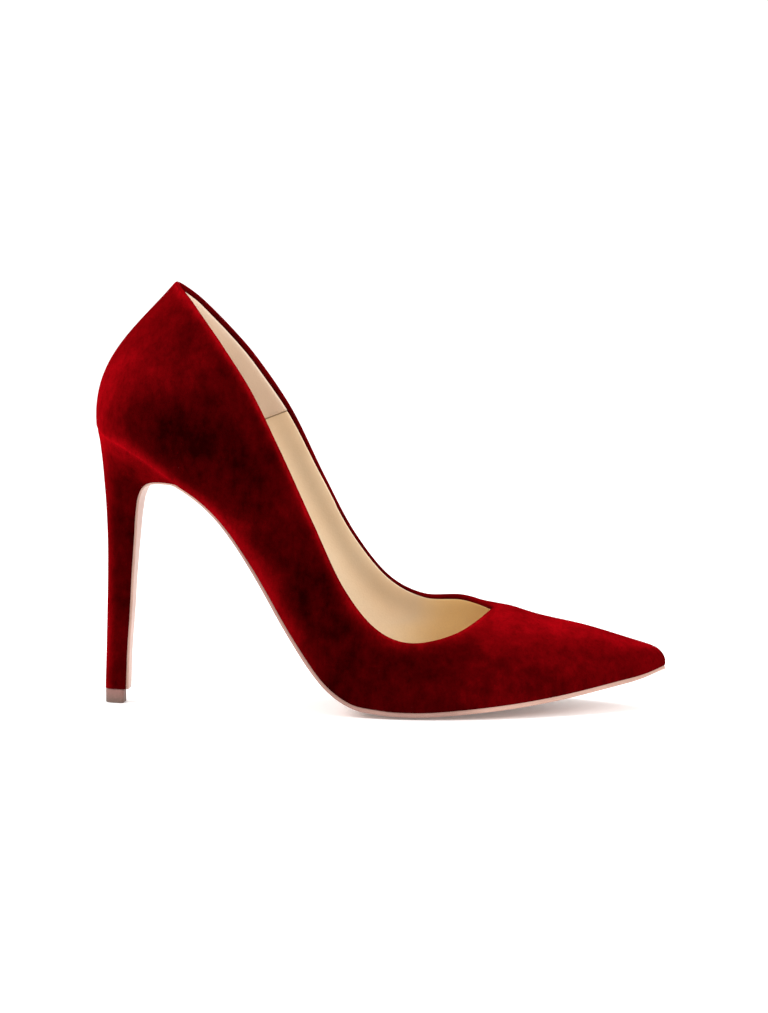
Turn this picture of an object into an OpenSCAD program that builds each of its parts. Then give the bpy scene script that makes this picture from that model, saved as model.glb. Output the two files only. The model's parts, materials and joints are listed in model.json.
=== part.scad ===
// High heel pump for the right foot: pointed toe, stiletto heel, low-cut topline.
// Frame: origin under the middle of the shoe on the floor, +X to the toe, +Z up,
// -Y is the outer (lateral) side, +Y the inner (medial) side. Millimetres.

/* [Size] */
// Length from the back of the heel curve to the toe tip, mm
shoe_l = 217.9; // [195:0.1:240]
// Width across the ball, mm
ball_w = 76.6; // [66:0.1:88]
// Height of the heel under the seat at the back, mm
heel_h = 107; // [85:0.5:120]

/* [Upper] */
// Thickness of the velvet, mm
velvet_t = 1; // [0.6:0.1:1.4]
// Thickness of the stiffeners and interlinings, mm
stiff_t = 0.6; // [0.4:0.1:0.8]
// Thickness of the lining, mm
lining_t = 0.7; // [0.5:0.1:0.9]
// Width of the velvet edge turned inside the topline round the heel, mm
edge_w = 2.5; // [1.5:0.25:3]
// Width of the margin turned under the insole, mm
margin_w = 11; // [8:0.5:12]

/* [Bottom] */
// Thickness of the insole board, mm
board_t = 1.5; // [1.2:0.1:2]
// Thickness of the fibre shank board, mm
shank_board_t = 1.5; // [1:0.1:2]
// Thickness of the outsole at the ball, mm
sole_t = 2.2; // [1.8:0.1:2.6]
// Thickness of the outsole's edge at the waist, mm
waist_t = 1.4; // [1.2:0.1:1.6]
// Thickness of the outsole's edge where it meets the heel, mm
skive_t = 0.8; // [0.5:0.1:0.9]
// Width of the steel shank, mm
shank_w = 12; // [9:0.5:14]
// Thickness of the steel shank, mm
shank_t = 1.1; // [0.8:0.1:1.2]

/* [Heel] */
// Height of the top piece, mm
tip_h = 5.5; // [4:0.5:7]
// Thickness of the velvet heel cover, mm
cover_t = 0.8; // [0.5:0.1:1]
// Thickness of the breast flap, mm
flap_t = 1; // [0.8:0.1:1.3]
// Outside diameter of the steel tube in the stem, mm
tube_d = 4; // [3:0.1:4.5]

/* [Hidden] */
kx = shoe_l / 217.9;
ky = ball_w / 76.6;
kz = heel_h / 107;
inner = velvet_t + stiff_t;
depth = inner + lining_t;
eps = 0.05;

// Stations round the feather edge: q runs from the toe tip (0) along the outer side
// to the back (14) and along the inner side to the toe tip again (28).
// q, feather x y, top x y z, lower handle length and lean, upper handle length and lean
STATIONS = [
  [0, 215.9, 4.5, 212.2, 4.5, 23.7, 2.8, 12, 3.2, 60],
  [0.5, 212.8, 0.2, 207.8, 4.5, 25, 3.5, 12, 5, 84],
  [1, 204, -6.8, 198, 4.3, 28.1, 6, 12, 7.5, 88],
  [2, 190, -15.5, 184, 3.7, 32, 8.5, 12, 11, 86],
  [3, 172, -25.5, 167, 2, 35.4, 10.5, 12, 15, 82],
  [4, 155, -33, 151.9, -1, 39, 12, 12, 17, 76],
  [5, 138, -37.3, 138.5, -18.5, 31.3, 11, 12, 9, 56],
  [6, 120, -38.3, 121.5, -29, 28.6, 9, 12, 7, 30],
  [7, 102, -35.2, 107.5, -29.8, 34.3, 8.5, 12, 7, 18],
  [8, 84, -29.8, 95, -27.2, 49.5, 9, 12, 8, 13],
  [9, 66, -26.2, 83.7, -25, 73.4, 10, 12, 10, 12],
  [10, 48, -25, 71.6, -24.2, 100.2, 12, 12, 12, 14],
  [11, 32, -25.6, 60.6, -23.1, 122.5, 14, 12, 16, 18],
  [12, 16, -23.6, 48.1, -20.4, 141.2, 17, 10, 18.5, 24],
  [13, 4, -16.5, 36.5, -12.5, 155.3, 22, 5.5, 20.5, 34],
  [14, -2, 0, 28.9, 0, 162.6, 26.5, 4.5, 23, 40.4],
  [15, 4, 16.5, 36, 13, 155.9, 22, 5.5, 20.5, 34],
  [16, 16, 23.2, 46, 20.2, 145, 17, 10, 18.5, 24],
  [17, 32, 24.6, 57, 22.6, 132, 14, 12, 16, 18],
  [18, 48, 22.8, 70.5, 23.3, 112, 13, 12, 13, 14],
  [19, 66, 20.8, 82.9, 23.6, 86.3, 13, 14, 12, 12],
  [20, 84, 21.6, 94.1, 24.2, 64.6, 13, 14, 11, 14],
  [21, 102, 26.5, 107, 24.9, 48.2, 13, 13, 11, 20],
  [22, 120, 33.5, 121, 23.3, 41.4, 14, 11, 11, 38],
  [23, 136, 37.3, 137.5, 14.5, 41.8, 15, 9, 13, 68],
  [24, 150, 37, 151.9, -1, 39, 16, 8, 19, 104],
  [25, 167, 32.2, 167, 2, 35.4, 13, 10, 16, 98],
  [26, 184, 24, 184, 3.7, 32, 10, 11, 11, 94],
  [27, 199.5, 15.2, 198, 4.3, 28.1, 6.5, 12, 7.5, 92],
  [27.5, 211, 8.8, 207.8, 4.5, 25, 3.5, 12, 5, 96],
  [28, 215.9, 4.5, 212.2, 4.5, 23.7, 2.8, 12, 3.2, 60]];

// Height of the feather edge along the shoe: x, z
FEATHER = [
  [-2.5, 107.2], [20, 95], [32, 86.7], [41, 80.3], [50, 71.1], [59.5, 57.6], [78, 27], [88, 13.3],
  [98, 5.9], [110, 3.4], [125, 2.8], [145, 4.1], [178, 8], [200, 12.3],
  [209, 14.2], [216.5, 16.9]];

// Heel sections from the top piece to the seat: back x z, front x z, half width
HEEL = [
  [0.85, 5.5, 9.4, 5.5, 4.75],
  [1.3, 20.2, 10, 20.7, 4.85],
  [1.7, 35.2, 11.1, 35.7, 5.3],
  [2, 50.2, 12, 50.7, 5.9],
  [2, 63.2, 13.1, 64.2, 6.9],
  [1.7, 72.2, 13.9, 73.7, 8.3],
  [1.3, 79.7, 15.1, 80.3, 10.3],
  [0.8, 86.2, 17.2, 84.3, 13],
  [0.35, 92, 20, 86.3, 16.3],
  [-0.25, 97.5, 23.4, 87.1, 19.6],
  [-0.9, 102.3, 27, 87.3, 22.6],
  [-1.45, 105, 30.2, 87.1, 24.4],
  [-2, 106.9, 32, 86.7, 25.4]];

// Breast of the heel, section by section: how deep the core lies behind the velvet rim,
// how far the flap stands out of it
BREAST = [
  [0, 1], [0, 1], [0, 1], [0, 1], [0, 1], [0, 1], [0.2, 0.9], [0.5, 0.8], [0.8, 0.9],
  [0.8, 0.9], [0.8, 0.9], [0.8, 0.9]];

// Nails of the heel seat: x, y
NAILS = [[12, -8], [12, 8], [22, -12], [22, 12]];

// Rivets of the shank along the shoe: x
RIVETS = [38, 92];

// Rows of the wall between the feather edge and the topline
ROWS = [0.11, 0.22, 0.34, 0.46, 0.59, 0.72, 0.85];

function unit(v) = v / norm(v);
function ease(a, b, x) = let (t = max(0, min(1, (x - a) / (b - a)))) t * t * (3 - 2 * t);
function col(t, c) = [for (r = t) r[c]];
function cut(t, a, b) = [for (i = [a:b]) t[i]];
function slopes(x, y) = let (n = len(x) - 1) [for (i = [0:n])
  let (a = max(0, i - 1), b = min(n, i + 1), g = x[i] - x[a], h = x[b] - x[i],
    d0 = g > 0 ? (y[i] - y[a]) / g : 0 * y[0], d1 = h > 0 ? (y[b] - y[i]) / h : 0 * y[0])
  g == 0 ? d1 : h == 0 ? d0 : (h * d0 + g * d1) / (g + h)];
function seg(x, u, i) = i >= len(x) - 2 || u < x[i + 1] ? i : seg(x, u, i + 1);
function herm(x, y, m, u) = let (i = seg(x, u, 0), h = x[i + 1] - x[i], t = (u - x[i]) / h)
  y[i] * (1 + 2 * t) * (1 - t) * (1 - t) + m[i] * h * t * (1 - t) * (1 - t)
  + y[i + 1] * t * t * (3 - 2 * t) + m[i + 1] * h * t * t * (t - 1);

q_s = col(STATIONS, 0);
f_s = [for (r = STATIONS) [r[1] * kx, r[2] * ky]];
f_in = slopes(q_s, f_s);
f_m = [for (i = [0:len(f_s) - 1]) i == 0 || i == len(f_s) - 1 ? [0, -9.5 * ky] : f_in[i]];
t_s = [for (r = STATIONS) [r[3] * kx, r[4] * ky, r[5] * kz]];
h_s = [for (r = STATIONS) [r[6], r[7], r[8], r[9]]];
h_m = slopes(q_s, h_s);
ends = [[0, 5], [5, 25], [25, 30]];
t_q = [for (e = ends) cut(q_s, e[0], e[1])];
t_v = [for (e = ends) cut(t_s, e[0], e[1])];
t_m = [for (i = [0:2]) slopes(t_q[i], t_v[i])];
z_x = col(FEATHER, 0) * kx;
z_z = col(FEATHER, 1) * kz;
z_m = slopes(z_x, z_z);

function feather(q) = herm(q_s, f_s, f_m, q);
function top(q) = let (i = q < 4 ? 0 : q > 24 ? 2 : 1) herm(t_q[i], t_v[i], t_m[i], q);
function zf(x) = herm(z_x, z_z, z_m, x);
function grade(x) = (zf(x + 0.2) - zf(x - 0.2)) / 0.4;
// A point of the bottom surface, moved by d along its normal
function bottom(x, y, d) = let (g = grade(x), n = sqrt(1 + g * g)) [x - d * g / n, y, zf(x) + d / n];
function outward(q) = let (t = feather(min(28, q + 0.01)) - feather(max(0, q - 0.01)))
  unit([-t.y, t.x, 0]);

// Width of the turned edge: narrow in front, nothing at the throat
function edge(q) = let (k = min(q, 28 - q)) edge_w * (0.48 + 0.52 * ease(8.7, 10.8, k)) * ease(4, 4.8, k);

// Feather point, top point, lower handle, upper handle, inward normal at the top, outward normal
function raw(q) = let (f = feather(q), F = [f.x, f.y, zf(f.x)], P = top(q), h = herm(q_s, h_s, h_m, q),
    n = outward(q), c = P - F, w = unit(c - n * (c * n)),
    quarter = q < 14 ? ease(4, 7, q) : 1 - ease(21, 24, q),
    tip = q < 14 ? 1 - ease(0, 0.8, q) : ease(27.2, 28, q),
    side = unit([0, q < 14 ? -1 : 1, 0] * (1 - quarter) + n * quarter),
    m = unit(side * (1 - tip) + [1, 0, 0] * tip))
  [F, P, (n * sin(h[1]) + w * cos(h[1])) * h[0], (m * sin(h[3]) - w * cos(h[3])) * h[2],
    -m * cos(h[3]) - w * sin(h[3]), n, 1 - edge(q) / (3 * h[2])];
function station(q) = let (s = raw(q), o = raw(28 - q), ridge = q <= 4 || q >= 24)
  [s[0], s[1], s[2], s[3], ridge ? unit(s[4] + o[4]) : s[4], s[5], s[6], q];
function foot(s, w, d) = bottom(s[0].x - s[5].x * w, s[0].y - s[5].y * w, d);
function wall(s, d, t) = let (F = foot(s, d, d), P = s[1] + s[4] * d,
    k = norm(P - F) / norm(s[1] - s[0]), A = F + s[2] * k, B = P + s[3] * k, u = 1 - t)
  F * u * u * u + A * 3 * t * u * u + B * 3 * t * t * u + P * t * t * t;
function margin(s, w) = let (q = min(s[7], 28 - s[7])) w * ease(-0.8, 3.2, q);

half = concat([0, 0.2, 0.4, 0.6, 0.8], [for (i = [3:42]) i / 3]);
// Stations from the inner side, round the toe, to the outer side
function round_toe(a, b) = concat(
  [for (i = [len(half) - 1:-1:1]) if (28 - half[i] >= a) 28 - half[i]], [for (q = half) if (q <= b) q]);

// A curved sheet between the depths a and b: margin under the insole, wall up to the rows;
// a row of -1 stands for the line where the turned edge begins
module sheet(qs, a, b, w, rows, ring) {
  K = len(qs);
  S = [for (q = qs) station(q)];
  P = [for (d = [a, b]) [for (s = S) concat([foot(s, max(margin(s, w), b + 0.4), d), foot(s, d, d)],
    [for (t = rows) wall(s, d, t < 0 ? s[6] : t)])]];
  M = len(P[0][0]);
  toe = min(qs) == 0;
  k0 = toe ? [for (k = [0:K - 1]) if (qs[k] == 0) k][0] : 0;
  v = function(s, k, j) let (c = k % K)
    (s * K + (toe && j == M - 1 && qs[c] >= 24 ? 2 * k0 - c : c)) * M + j;
  last = ring ? K - 1 : K - 2;
  open = function(k) let (a = qs[k], b = qs[(k + 1) % K], m = (a + b) / 2)
    !toe || (abs(a - b) < 14 && m > 4 && m < 24);
  faces = concat(
    [for (k = [0:last]) for (j = [0:M - 2]) [v(0, k, j), v(0, k, j + 1), v(0, k + 1, j + 1)]],
    [for (k = [0:last]) for (j = [0:M - 2]) [v(0, k, j), v(0, k + 1, j + 1), v(0, k + 1, j)]],
    [for (k = [0:last]) for (j = [0:M - 2]) [v(1, k, j), v(1, k + 1, j + 1), v(1, k, j + 1)]],
    [for (k = [0:last]) for (j = [0:M - 2]) [v(1, k, j), v(1, k + 1, j), v(1, k + 1, j + 1)]],
    [for (k = [0:last]) [v(0, k, 0), v(0, k + 1, 0), v(1, k + 1, 0)]],
    [for (k = [0:last]) [v(0, k, 0), v(1, k + 1, 0), v(1, k, 0)]],
    [for (k = [0:last]) if (open(k)) [v(0, k, M - 1), v(1, k + 1, M - 1), v(0, k + 1, M - 1)]],
    [for (k = [0:last]) if (open(k)) [v(0, k, M - 1), v(1, k, M - 1), v(1, k + 1, M - 1)]],
    ring ? [] : [for (j = [0:M - 2]) [v(0, 0, j), v(1, 0, j + 1), v(0, 0, j + 1)]],
    ring ? [] : [for (j = [0:M - 2]) [v(0, 0, j), v(1, 0, j), v(1, 0, j + 1)]],
    ring ? [] : [for (j = [0:M - 2]) [v(0, K - 1, j), v(0, K - 1, j + 1), v(1, K - 1, j + 1)]],
    ring ? [] : [for (j = [0:M - 2]) [v(0, K - 1, j), v(1, K - 1, j + 1), v(1, K - 1, j)]]);
  polyhedron(concat([for (s = P[0]) each s], [for (s = P[1]) each s]), faces);
}

// Joins closed sections one after the other; with pairs, the ends close between opposite points
module loft(P, pairs = false) {
  K = len(P);
  M = len(P[0]);
  h = floor((M - 1) / 2);
  caps = pairs
    ? [for (j = [0:h - 1]) for (t = [[j, j + 1, M - 2 - j], [j, M - 2 - j, M - 1 - j]]) if (t[1] != t[2]) t]
    : [[for (j = [0:M - 1]) j]];
  v = function(k, j) k * M + j % M;
  polyhedron([for (s = P) each s], concat(
    [for (k = [0:K - 2]) for (j = [0:M - 1]) [v(k, j), v(k, j + 1), v(k + 1, j + 1)]],
    [for (k = [0:K - 2]) for (j = [0:M - 1]) [v(k, j), v(k + 1, j + 1), v(k + 1, j)]],
    [for (c = caps) [for (i = [len(c) - 1:-1:0]) v(0, c[i])]], [for (c = caps) [for (i = c) v(K - 1, i)]]));
}

// A strip in the wall, given by depth and height of its corners
module strip(qs, corners, pairs = false) {
  loft([for (q = qs) let (s = station(q))
    [for (c = corners) wall(s, c[0], c[1] < 0 ? s[6] : c[1])]], pairs);
}

// A sheet lying on the bottom surface between two heights given along the shoe
module plate(qs, inset, lo, hi) {
  loft([for (q = qs) let (a = station(q), b = station(28 - q), x = a[0].x / kx, w = inset(q))
    [foot(a, w, lo(x)), foot(a, w, hi(x)), foot(b, w, hi(x)), foot(b, w, lo(x))]]);
}

function thirds(a, b) = [for (i = [a:b]) i / 3];
function even(h) = function(x) h;
board_top = depth + board_t;
shank_board_top = board_top + shank_board_t;
sock_low = function(x) shank_board_top + 0.1 + 2.9 * (1 - ease(35, 62, x)) + 1 * ease(100, 125, x);
sock_high = function(x) sock_low(x) + 0.8;
sock_stations = concat([1.1], thirds(4, 40), [13.6]);

// Moves the following along the normal of the bottom surface at x, y
module on_bottom(x, y, d) {
  p = bottom(x * kx, y * ky, d);
  translate(p) rotate([0, -atan(grade(x * kx)), 0]) children();
}

module place(c) color(c) translate([-107 * kx, 0.4 * ky, 0]) children();

module upper_outer() place("darkred")
  sheet(round_toe(14.2, 14), 0, velvet_t, margin_w, concat(ROWS, [1]), true);

module topline_binding() place("firebrick")
  strip(thirds(13, 71),
    [[inner, -1], [depth, -1], [depth, 1], [velvet_t, 1], [velvet_t, 0.98], [inner, 0.98]]);

module topline_tape() place("ivory")
  strip(thirds(13, 71), [[velvet_t, 0.87], [inner, 0.87], [inner, 0.98], [velvet_t, 0.98]]);

module toe_puff() place("lightgray")
  sheet(round_toe(25.3, 2.7), velvet_t, inner, margin_w - 2, concat(ROWS, [1]), false);

module interlining_lateral() place("whitesmoke")
  sheet(thirds(8, 30), velvet_t, inner, margin_w - 3, ROWS, false);

module interlining_medial() place("whitesmoke")
  sheet(thirds(54, 76), velvet_t, inner, margin_w - 3, ROWS, false);

module heel_counter() place("tan")
  sheet(thirds(30, 54), velvet_t, inner, margin_w - 2, [for (i = [0:5]) ROWS[i]], false);

module vamp_lining() place("burlywood")
  sheet(round_toe(17.6, 10.4), inner, depth, margin_w - 4, concat(ROWS, [-1]), false);

module quarter_lining() place("wheat")
  sheet(thirds(31, 53), inner, depth, margin_w - 4, concat(ROWS, [-1]), false);

module back_stay() place("tan")
  strip(thirds(41, 43), concat([for (i = [1:6]) [depth, ROWS[i]]],
    [for (i = [6:-1:1]) [depth + 0.5, ROWS[i]]]), true);

module insole_board() place("peru") difference() {
  plate(concat([0.4, 0.7], thirds(3, 41), [13.85]), function(q) depth + 0.1, even(depth), even(board_top));
  fastener_holes();
}

module shank_board() place("sienna") difference() {
  plate(concat(thirds(20, 40), [13.6]), function(q) depth + 2.6, even(board_top), even(shank_board_top));
  fastener_holes();
}

module steel_shank() place("silver") difference() {
  loft([for (q = thirds(21, 33)) let (a = station(q)[0], b = station(28 - q)[0], x = (a.x + b.x) / 2,
      y = (a.y + b.y) / 2, h = depth - eps)
    [bottom(x, y - shank_w / 2, h - shank_t), bottom(x, y - shank_w / 2, h),
      bottom(x, y + shank_w / 2, h), bottom(x, y + shank_w / 2, h - shank_t)]]);
  fastener_holes();
}

module rivet(x) on_bottom(x, -2, 0) {
  low = depth - eps - shank_t;
  translate([0, 0, low - 0.6]) cylinder(h = 0.6, d = 7, $fn = 24);
  translate([0, 0, low - 0.1]) cylinder(h = shank_board_top - low + 0.1, d = 3, $fn = 24);
}
module shank_rivets() place("gray") for (x = RIVETS) rivet(x);

module nail(p, d) on_bottom(p.x, p.y, -7) cylinder(h = 7 + shank_board_top, d = d, $fn = 12);
module heel_nails() place("gray") for (p = NAILS) nail(p, 1.8);

module screw_at(d) on_bottom(21, 0, -16) cylinder(h = 16 + shank_board_top, d = d, $fn = 24);
module heel_screw() place("gray") screw_at(4);

module fastener_holes() {
  for (x = RIVETS) on_bottom(x, -2, 0) cylinder(h = 9, d = 3, $fn = 24);
  for (p = NAILS) nail(p, 1.8);
  for (p = NAILS) on_bottom(p.x, p.y, 2) cylinder(h = 9, d = 1.8, $fn = 12);
  screw_at(4);
  on_bottom(21, 0, 2) cylinder(h = 9, d = 4, $fn = 24);
}

module bottom_filler() place("saddlebrown")
  plate(thirds(4, 20), function(q) margin(station(q), margin_w) + 0.6, even(eps), even(depth - eps));

module forefoot_foam() place("khaki")
  plate(concat([1.1], thirds(4, 18)), function(q) depth + 1, even(board_top), sock_low);

module heel_foam() place("khaki")
  plate(thirds(29, 40), function(q) depth + 3, even(shank_board_top), sock_low);

module sock_lining() place("navajowhite")
  plate(sock_stations, function(q) depth + 0.1, sock_low, sock_high);

// Outsole: thickness at the edge and in the middle along the shoe
sole_edge = function(x) skive_t + (waist_t - skive_t) * ease(34, 84, x)
  + (sole_t - waist_t - 0.4) * ease(85, 112, x) - 0.2 * ease(150, 210, x) - 0.7 * ease(202, 216, x);
sole_mid = function(x) sole_edge(x) + 0.4 + ease(90, 118, x) - 0.8 * ease(140, 205, x);
CROWN = [[1, 0], [0.93, 0.35], [0.6, 0.85], [0.2, 1], [-0.2, 1], [-0.6, 0.85], [-0.93, 0.35], [-1, 0]];
function sole_section(q) = let (a = station(q), b = station(28 - q), x = a[0].x / kx, l = foot(a, 0.3, -eps),
    r = foot(b, 0.3, -eps), e = sole_edge(x), m = sole_mid(x))
  concat([l, r], [for (c = CROWN) let (p = (l + r) / 2 + (r - l) / 2 * c[0])
    bottom(p.x, p.y, -eps - e - (m - e) * c[1])]);
function front(k) = [HEEL[k][2] * kx, 0, HEEL[k][3] * kz];
function back(k) = [HEEL[k][0] * kx, 0, HEEL[k][1] * kz];
function breast_out(k) = let (t = front(min(11, k + 1)) - front(max(0, k - 1))) unit([t.z, 0, -t.x]);
function core_front(k) = k == 12 ? front(12) : front(k) - breast_out(k) * BREAST[k][0];
function flap_section(k) = let (w = HEEL[k][4] * ky - (BREAST[k][0] > 0.3 ? cover_t + 0.2 : 0.3),
    i = core_front(k) + breast_out(k) * eps, t = BREAST[k][1] * flap_t + BREAST[k][0] - eps)
  concat([i - [0, w, 0], i + [0, w, 0]], [for (c = CROWN)
    i + [0, w * c[0], 0] + breast_out(k) * t * (0.6 + 0.4 * c[1])]);
module outsole() place("rosybrown") difference() {
  loft(concat([for (q = concat([0.1, 0.35, 0.65], thirds(3, 33))) sole_section(q)],
    [for (k = [10:-1:0]) flap_section(k)]));
  translate([-50, -100, -20]) cube([400, 200, 20]);
}

// Heel: sections shaped like the seat, from the inner front corner round the back
heel_q = thirds(33, 51);
function heel_point(k, q, c, f) = let (s = station(q), p = s[0], g = [feather(11).x, -2 * kx],
    u = (g[0] - p.x) / (g[0] - g[1]), b = back(k), n = norm(b - f), w = HEEL[k][4] * ky - c)
  k == 12 ? foot(s, c, -eps) : f + (b - f) * u * (1 - c / n) + [0, w * p.y / (25.4 * ky), 0];
function heel_rim(k) = [for (q = heel_q) heel_point(k, q, 0, front(k))];
function core_rim(k) = [for (q = heel_q) heel_point(k, q, cover_t, core_front(k))];

function reversed(v) = [for (i = [len(v) - 1:-1:0]) v[i]];
module heel_cover() place("darkred")
  loft([for (k = [0:12]) concat(heel_rim(k), reversed(core_rim(k)))], true);

module heel_core() place("dimgray") difference() {
  loft([for (k = [0:12]) core_rim(k)], true);
  in_stem() translate([0, 0, -2]) cylinder(h = 69, d = tube_d, $fn = 32);
  for (p = NAILS) nail(p, 1.8);
  screw_at(4);
}

// Axis of the stem, from the underside of the core upwards
module in_stem() translate([5.15 * kx, 0, tip_h]) rotate([0, 2.3, 0]) children();
module heel_tube() place("lightsteelblue") in_stem() translate([0, 0, 1]) difference() {
  cylinder(h = 66, d = tube_d, $fn = 32);
  translate([0, 0, -1]) cylinder(h = 68, d = tube_d - 1.2, $fn = 32);
}
module pin() in_stem() {
  translate([0, 0, -3]) cylinder(h = 1, d = 5, $fn = 32);
  translate([0, 0, -2.5]) cylinder(h = 16, d = tube_d - 1.3, $fn = 32);
}
module heel_tip_pin() place("gray") pin();
// Outline of the top piece: its front edge lies behind the flap, with the corners cut off
function tip_rim() = let (r = core_rim(0), m = 5.15 * kx) [for (i = [0:len(r) - 1])
  [m + (r[i].x - m) * (r[i].x > m ? 0.78 : 1.14), r[i].y * (i % (len(r) - 1) == 0 ? 0.8 : 1.11)]];
module heel_tip() place("rosybrown") difference() {
  linear_extrude(tip_h - eps) polygon(tip_rim());
  pin();
}

upper_outer();
topline_binding();
topline_tape();
toe_puff();
interlining_lateral();
interlining_medial();
heel_counter();
vamp_lining();
quarter_lining();
back_stay();
insole_board();
shank_board();
steel_shank();
shank_rivets();
bottom_filler();
forefoot_foam();
heel_foam();
sock_lining();
outsole();
heel_core();
heel_cover();
heel_tube();
heel_screw();
heel_nails();
heel_tip();
heel_tip_pin();
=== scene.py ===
import json
import math

import bmesh
import bpy
import numpy as np
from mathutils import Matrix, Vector


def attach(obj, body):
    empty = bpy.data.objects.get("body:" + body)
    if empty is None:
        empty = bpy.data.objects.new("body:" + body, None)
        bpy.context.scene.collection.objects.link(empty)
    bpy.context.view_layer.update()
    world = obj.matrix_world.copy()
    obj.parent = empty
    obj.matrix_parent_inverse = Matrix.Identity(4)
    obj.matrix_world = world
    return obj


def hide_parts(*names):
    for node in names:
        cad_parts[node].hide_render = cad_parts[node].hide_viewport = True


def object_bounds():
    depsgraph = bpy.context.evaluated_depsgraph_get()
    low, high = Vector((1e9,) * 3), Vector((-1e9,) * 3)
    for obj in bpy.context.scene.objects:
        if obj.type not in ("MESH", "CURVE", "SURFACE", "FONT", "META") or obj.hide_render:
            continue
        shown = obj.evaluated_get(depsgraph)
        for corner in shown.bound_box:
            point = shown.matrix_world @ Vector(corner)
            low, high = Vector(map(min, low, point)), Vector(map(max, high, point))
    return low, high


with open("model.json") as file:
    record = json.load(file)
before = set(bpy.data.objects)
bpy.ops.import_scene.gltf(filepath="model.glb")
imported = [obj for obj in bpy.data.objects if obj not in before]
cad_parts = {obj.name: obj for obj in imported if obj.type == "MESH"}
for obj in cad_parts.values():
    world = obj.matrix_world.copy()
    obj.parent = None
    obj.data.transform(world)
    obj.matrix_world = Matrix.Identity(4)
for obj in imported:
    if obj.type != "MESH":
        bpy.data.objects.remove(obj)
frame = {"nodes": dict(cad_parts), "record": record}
CAD_BOX = [list(c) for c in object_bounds()]
LOW, HIGH = (np.array(c) for c in CAD_BOX)

# ---------------------------------------------------------------- form of the shoe
# The same stations as in the CAD source, in millimetres from the back of the heel curve.
# q runs from the toe tip (0) along the outer side to the back (14) and along the inner
# side to the toe tip again (28). Each row: q, feather x y, top x y z, then the length and
# lean of the wall's handle at the feather edge and at the top.
STATIONS = np.array([
    [0, 215.9, 4.5, 212.2, 4.5, 23.7, 2.8, 12, 3.2, 60],
    [0.5, 212.8, 0.2, 207.8, 4.5, 25, 3.5, 12, 5, 84],
    [1, 204, -6.8, 198, 4.3, 28.1, 6, 12, 7.5, 88],
    [2, 190, -15.5, 184, 3.7, 32, 8.5, 12, 11, 86],
    [3, 172, -25.5, 167, 2, 35.4, 10.5, 12, 15, 82],
    [4, 155, -33, 151.9, -1, 39, 12, 12, 17, 76],
    [5, 138, -37.3, 138.5, -18.5, 31.3, 11, 12, 9, 56],
    [6, 120, -38.3, 121.5, -29, 28.6, 9, 12, 7, 30],
    [7, 102, -35.2, 107.5, -29.8, 34.3, 8.5, 12, 7, 18],
    [8, 84, -29.8, 95, -27.2, 49.5, 9, 12, 8, 13],
    [9, 66, -26.2, 83.7, -25, 73.4, 10, 12, 10, 12],
    [10, 48, -25, 71.6, -24.2, 100.2, 12, 12, 12, 14],
    [11, 32, -25.6, 60.6, -23.1, 122.5, 14, 12, 16, 18],
    [12, 16, -23.6, 48.1, -20.4, 141.2, 17, 10, 18.5, 24],
    [13, 4, -16.5, 36.5, -12.5, 155.3, 22, 5.5, 20.5, 34],
    [14, -2, 0, 28.9, 0, 162.6, 26.5, 4.5, 23, 40.4],
    [15, 4, 16.5, 36, 13, 155.9, 22, 5.5, 20.5, 34],
    [16, 16, 23.2, 46, 20.2, 145, 17, 10, 18.5, 24],
    [17, 32, 24.6, 57, 22.6, 132, 14, 12, 16, 18],
    [18, 48, 22.8, 70.5, 23.3, 112, 13, 12, 13, 14],
    [19, 66, 20.8, 82.9, 23.6, 86.3, 13, 14, 12, 12],
    [20, 84, 21.6, 94.1, 24.2, 64.6, 13, 14, 11, 14],
    [21, 102, 26.5, 107, 24.9, 48.2, 13, 13, 11, 20],
    [22, 120, 33.5, 121, 23.3, 41.4, 14, 11, 11, 38],
    [23, 136, 37.3, 137.5, 14.5, 41.8, 15, 9, 13, 68],
    [24, 150, 37, 151.9, -1, 39, 16, 8, 19, 104],
    [25, 167, 32.2, 167, 2, 35.4, 13, 10, 16, 98],
    [26, 184, 24, 184, 3.7, 32, 10, 11, 11, 94],
    [27, 199.5, 15.2, 198, 4.3, 28.1, 6.5, 12, 7.5, 92],
    [27.5, 211, 8.8, 207.8, 4.5, 25, 3.5, 12, 5, 96],
    [28, 215.9, 4.5, 212.2, 4.5, 23.7, 2.8, 12, 3.2, 60]])
THROAT = 4  # station where the topline begins
BREAST = 11  # where the front of the heel meets the sole
BACK = 14
TOE = 28  # the toe tip again; TOE - q is the station across the shoe from q

# Height of the feather edge along the shoe: x, z
FEATHER = np.array([
    [-2.5, 107.2], [20, 95], [32, 86.7], [41, 80.3], [50, 71.1], [59.5, 57.6], [78, 27], [88, 13.3],
    [98, 5.9], [110, 3.4], [125, 2.8], [145, 4.1], [178, 8], [200, 12.3],
    [209, 14.2], [216.5, 16.9]])

# Heel sections from the top piece to the seat: back x z, front x z, half width,
# how far the flap stands out of the breast
HEEL = np.array([
    [0.85, 5.5, 9.4, 5.5, 4.75, 1],
    [1.3, 20.2, 10, 20.7, 4.85, 1],
    [1.7, 35.2, 11.1, 35.7, 5.3, 1],
    [2, 50.2, 12, 50.7, 5.9, 1],
    [2, 63.2, 13.1, 64.2, 6.9, 1],
    [1.7, 72.2, 13.9, 73.7, 8.3, 1],
    [1.3, 79.7, 15.1, 80.3, 10.3, 0.9],
    [0.8, 86.2, 17.2, 84.3, 13, 0.8],
    [0.35, 92, 20, 86.3, 16.3, 0.9],
    [-0.25, 97.5, 23.4, 87.1, 19.6, 0.9],
    [-0.9, 102.3, 27, 87.3, 22.6, 0.9],
    [-1.45, 105, 30.2, 87.1, 24.4, 0.9]])
SEAT_BACK = -2
SEAT_HALF_WIDTH = 25.4
SEAT_STEP = 0.35  # how far the heel cover's rim lies inside the edge of the quarter
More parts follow.
